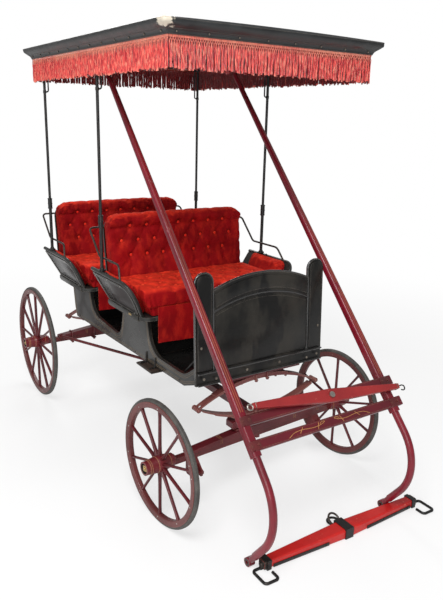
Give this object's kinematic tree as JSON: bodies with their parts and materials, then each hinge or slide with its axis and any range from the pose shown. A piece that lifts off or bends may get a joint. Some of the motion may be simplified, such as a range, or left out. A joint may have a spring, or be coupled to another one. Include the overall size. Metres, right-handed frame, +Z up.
{
  "type": "horse-drawn surrey",
  "caption": "Four-wheeled surrey with spoked wheels, elliptic springs, two buttoned seats, a fringed standing top and detached shafts leaning in front.",
  "frame": {"origin": "on the floor, at the middle of the whole standing set seen from above", "axes": "-Y to the front of the carriage, +X to its left, +Z up"},
  "size_m": [1.3222, 2.6908, 2.1868],
  "materials": {
    "axle_iron": "worn maroon paint over iron",
    "black_iron": "black painted iron",
    "body_paint": "black and dark grey coach paint",
    "dash_leather": "black patent leather over an iron frame",
    "fringe": "coral silk fringe",
    "gear_wood": "maroon painted wood with fine ochre lines",
    "harness_iron": "dark worn iron",
    "shaft_wood": "maroon painted ash with ochre lines",
    "spring_steel": "worn brownish maroon paint over steel",
    "step_iron": "bare worn iron",
    "top_leather": "black leather edge and cover",
    "top_wood": "dark varnished wood",
    "tree_wood": "red painted wood",
    "tyre": "grey-black solid rubber",
    "velvet": "bright red velvet",
    "wheel_iron": "maroon painted hub bands",
    "wheel_wood": "maroon painted wood, lighter on the felloes"
  },
  "bodies": {
    "carriage": {"rear_axle": "axle_iron", "rear_axle_bed": "gear_wood", "fifth_wheel_upper": "axle_iron", "head_block": "gear_wood", "reach": "gear_wood", "reach_stays": "axle_iron", "front_spring_lower": "spring_steel", "front_spring_upper": "spring_steel", "rear_spring_lower": "spring_steel", "rear_spring_upper": "spring_steel", "dash": "dash_leather", "dash_mouldings": "dash_leather", "body_side_left": "body_paint", "body_side_right": "body_paint", "floor": "body_paint", "toe_board": "body_paint", "body_back": "body_paint", "seat_boxes": "body_paint", "spring_bars": "gear_wood", "rear_body_hangers": "black_iron", "steps": "step_iron", "seat_irons": "black_iron", "posts": "black_iron", "top_frame": "top_wood", "top_cover": "top_leather", "fringe": "fringe", "shafts": "shaft_wood", "crossbars": "shaft_wood", "swingletree_bolt": "harness_iron", "singletree": "tree_wood", "singletree_irons": "harness_iron", "front_seat_board": "body_paint", "front_seat_sides": "body_paint", "front_back_board": "body_paint", "front_back_cushion": "velvet", "front_seat_cushion": "velvet", "front_fall": "velvet", "rear_seat_board": "body_paint", "rear_seat_sides": "body_paint", "rear_back_board": "body_paint", "rear_back_cushion": "velvet", "rear_seat_cushion": "velvet", "rear_fall": "velvet"},
    "front_gear": {"front_axle": "axle_iron", "front_axle_bed": "gear_wood", "fifth_wheel_lower": "axle_iron", "shaft_couplings": "axle_iron"},
    "swingletree": {"swingletree": "tree_wood"},
    "wheel_front_right": {"wheel_front_right": "wheel_wood", "wheel_front_right_irons": "wheel_iron", "tyre_front_right": "tyre"},
    "wheel_front_left": {"wheel_front_left": "wheel_wood", "wheel_front_left_irons": "wheel_iron", "tyre_front_left": "tyre"},
    "wheel_rear_right": {"wheel_rear_right": "wheel_wood", "wheel_rear_right_irons": "wheel_iron", "tyre_rear_right": "tyre"},
    "wheel_rear_left": {"wheel_rear_left": "wheel_wood", "wheel_rear_left_irons": "wheel_iron", "tyre_rear_left": "tyre"}
  },
  "joints": [
    {"name": "steering", "type": "hinge", "parent": "carriage", "child": "front_gear", "pos_m": [0, -0.67556, 0.34], "axis": [0, 0, 1], "range_deg": [-30, 22]},
    {"name": "spin_front_right", "type": "hinge", "parent": "front_gear", "child": "wheel_front_right", "pos_m": [-0.5751, -0.71577, 0.3], "axis": [0.9976, 0.0698, 0], "continuous": true},
    {"name": "spin_front_left", "type": "hinge", "parent": "front_gear", "child": "wheel_front_left", "pos_m": [0.5751, -0.63534, 0.3], "axis": [0.9976, 0.0698, 0], "continuous": true},
    {"name": "spin_rear_right", "type": "hinge", "parent": "carriage", "child": "wheel_rear_right", "pos_m": [-0.5765, 0.98544, 0.36], "axis": [1, 0, 0], "continuous": true},
    {"name": "spin_rear_left", "type": "hinge", "parent": "carriage", "child": "wheel_rear_left", "pos_m": [0.5765, 0.98544, 0.36], "axis": [1, 0, 0], "continuous": true},
    {"name": "swingletree_pivot", "type": "hinge", "parent": "carriage", "child": "swingletree", "pos_m": [0.042, -1.13237, 0.65331], "axis": [0, -0.7415, 0.6709], "range_deg": [-6, 10]}
  ]
}
